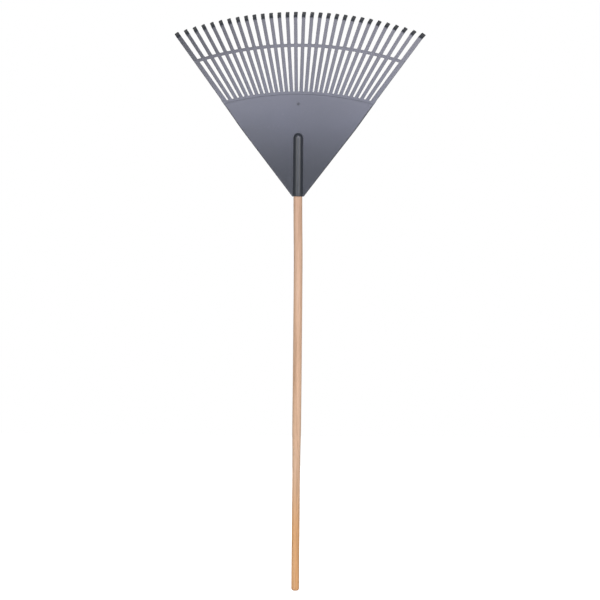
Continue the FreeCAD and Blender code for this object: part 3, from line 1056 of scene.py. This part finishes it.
def makeTines():
    tree = freeTineTree()
    for number in range(fan["tineCount"]):
        angle, width = tineAngle(number), tineWidth(number)
        startRay = rayAt(barHigh, angle) - tine["tuck"]
        startArc, skew = arcAndSkew(startRay, angle)
        ease = cos(skew)
        slope = atan((startArc - fan["curveStart"]) / fan["curveRadius"] * ease)
        tipRay = rayAt(fan["tipArc"], angle)
        tipEase = cos(arcAndSkew(tipRay, angle)[1])
        lean = atan((fan["tipArc"] - fan["curveStart"]) / fan["curveRadius"] * tipEase)
        reach = tine["hookRadius"] * (sin(lean + tine["hookTurn"]) - sin(lean))
        reach += tine["hookArm"] * cos(lean + tine["hookTurn"])
        straight = (tipRay - reach - startRay) / cos(slope)
        edge = number in (0, lastTine)
        values = {
            "angle": angle, "startRay": startRay, "slope": slope, "straight": straight, "width": width,
            "startDepth": sweepBack(startArc) + fan["front"] + tine["faceSink"],
            "bend": ease ** 2 / fan["curveRadius"], "tipWidth": max(width, tine["tipWidth"]),
            "flare": 0.0 if edge else tine["flare"],
            "ribShift": copysign((width - tine["ribWidth"]) / 2, angle) if edge else 0.0,
            "Material": slatePlastic,
        }
        node, name = "tine_%02d" % (number + 1), "tineEnd_%02d" % (number + 1)
        piece = objectFrom(finishMesh(grow(tree, name, values), slatePlastic, 40.0), name)
        evenShading(piece)
        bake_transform(piece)
        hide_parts(node)


makeTines()
print("tine ends ready")

# The handle
handle = {
    "gripRadius": 12.2 * mm,
    "shaftRadius": 13.4 * mm,
    "gripTop": 0.40,
    "shaftBottom": 0.50,
    "buttRound": 7.0 * mm,
    "shoulderZ": socket["mouthZ"],
    "topZ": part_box("handle")[1][2],
    "tenonRoot": 11.6 * mm,
    "tenonEnd": 10.4 * mm,
    "bow": 2.2 * mm,  # the shaft isn't quite straight
    "bowPeak": 0.98,
    "sides": 56,
    "stations": 150,
    "unevenness": 0.18 * mm,
}


def bowAt(z):  # nothing at the butt and at the socket
    top, peak = handle["shoulderZ"], handle["bowPeak"]
    if z >= top:
        return 0.0
    part = z / peak * 0.5 if z < peak else 0.5 + 0.5 * (z - peak) / (top - peak)
    return handle["bow"] * sin(pi * part) ** 2


def makeHandle():
    grip, soft = handle["gripRadius"], handle["buttRound"]
    profile = [(hair, 0.0), (0.5 * (grip - soft), 0.0), (grip - soft, 0.0)]
    profile += arcOf(grip - soft, soft, soft, range(-81, 1, 9))
    shoulder = handle["shoulderZ"]
    for step in range(1, handle["stations"] + 1):
        z = soft + (shoulder - 2 * mm - soft) * step / handle["stations"]
        part = min(max((z - handle["gripTop"]) / (handle["shaftBottom"] - handle["gripTop"]), 0.0), 1.0)
        eased = part * part * (3 - 2 * part)
        profile.append((grip + (handle["shaftRadius"] - grip) * eased, z))
    profile += [(handle["shaftRadius"] - 0.4 * mm, shoulder - 0.9 * mm), (handle["shaftRadius"] - 1.1 * mm, shoulder),
                (handle["tenonRoot"], shoulder), (handle["tenonEnd"], handle["topZ"]), (hair, handle["topZ"])]
    points, faces = turned(profile, handle["sides"])
    shaped = []
    for x, y, z in points:
        radius = hypot(x, y)
        if radius > 1 * mm and z < shoulder - 1 * mm:
            ripple = noise.noise(Vector((x * 60, y * 60, z * 7))) * handle["unevenness"]
            x, y = x * (1 + ripple / radius), y * (1 + ripple / radius)
        shaped.append((x + bowAt(z), y, z))
    mesh = finishMesh(meshFrom("woodenHandle", [(shaped, faces)]), paleWood, 50.0)
    piece = objectFrom(mesh, "woodenHandle")
    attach(piece, "rake")
    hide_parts("handle")


makeHandle()
print("handle ready")

# The screw behind the socket
screw = {
    "headRadius": 4.2 * mm,
    "headHeight": 2.4 * mm,
    "headRound": 1.4 * mm,
    "tipLength": 3.4 * mm,
    "rootPart": 0.72,  # of the shank's radius, between the threads
    "shankRadius": 1.9 * mm,
    "pitch": 1.6 * mm,
    "slotWidth": 0.95 * mm,
    "slotReach": 2.3 * mm,
    "slotDepth": 1.3 * mm,
}


def makeScrew():
    low, high = (Vector(corner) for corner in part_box("socket_screw"))
    centreZ = (low.z + high.z) / 2
    faceY = high.y - screw["headHeight"]
    radius, height = screw["headRadius"], screw["headHeight"]
    shank, pitch, soft = screw["shankRadius"], screw["pitch"], screw["headRound"]
    root = shank * screw["rootPart"]
    profile = [(hair, low.y), (0.3 * mm, low.y + 0.3 * mm), (shank * 0.7, low.y + 3.0 * mm)]
    y = low.y + screw["tipLength"]
    while y < faceY - 2.5 * pitch:  # turns of thread, as rings
        profile += [(root, y), (shank, y + 0.45 * pitch), (root, y + 0.8 * pitch)]
        y += pitch
    profile += [(shank * 0.8, faceY), (radius - 0.2 * mm, faceY), (radius, faceY + 0.3 * mm)]
    profile += arcOf(radius - soft, faceY + height - soft, soft, range(0, 91, 15))
    profile.append((hair, faceY + height))
    points, faces = turned(profile, 40)
    placed = [(x, z, centreZ + y) for x, y, z in points]
    mesh = finishMesh(meshFrom("socketScrew", [(placed, faces)]), zincSteel, 35.0)
    piece = objectFrom(mesh, "socketScrew")
    recess = []
    narrow, wide = screw["slotWidth"] / 2, screw["slotReach"]
    for halfX, halfZ, scaleX, scaleZ in ((wide, narrow, 1, 0), (narrow, wide, 0, 1)):
        rows = []
        for depth, taper in ((high.y - screw["slotDepth"], 0.55), (high.y + 1 * mm, 1.15)):
            x, z = halfX * taper ** scaleX, halfZ * taper ** scaleZ
            rows.append([Vector((x, depth, centreZ + z)), Vector((-x, depth, centreZ + z)),
                         Vector((-x, depth, centreZ - z)), Vector((x, depth, centreZ - z))])
        recess.append(finishMesh(meshFrom("crossCutter", [closedSweep(rows)]), zincSteel))
    piece.data = finishMesh(cutAway(piece, recess), zincSteel, 35.0)
    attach(piece, "rake")
    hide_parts("socket_screw")


makeScrew()
print("screw ready")
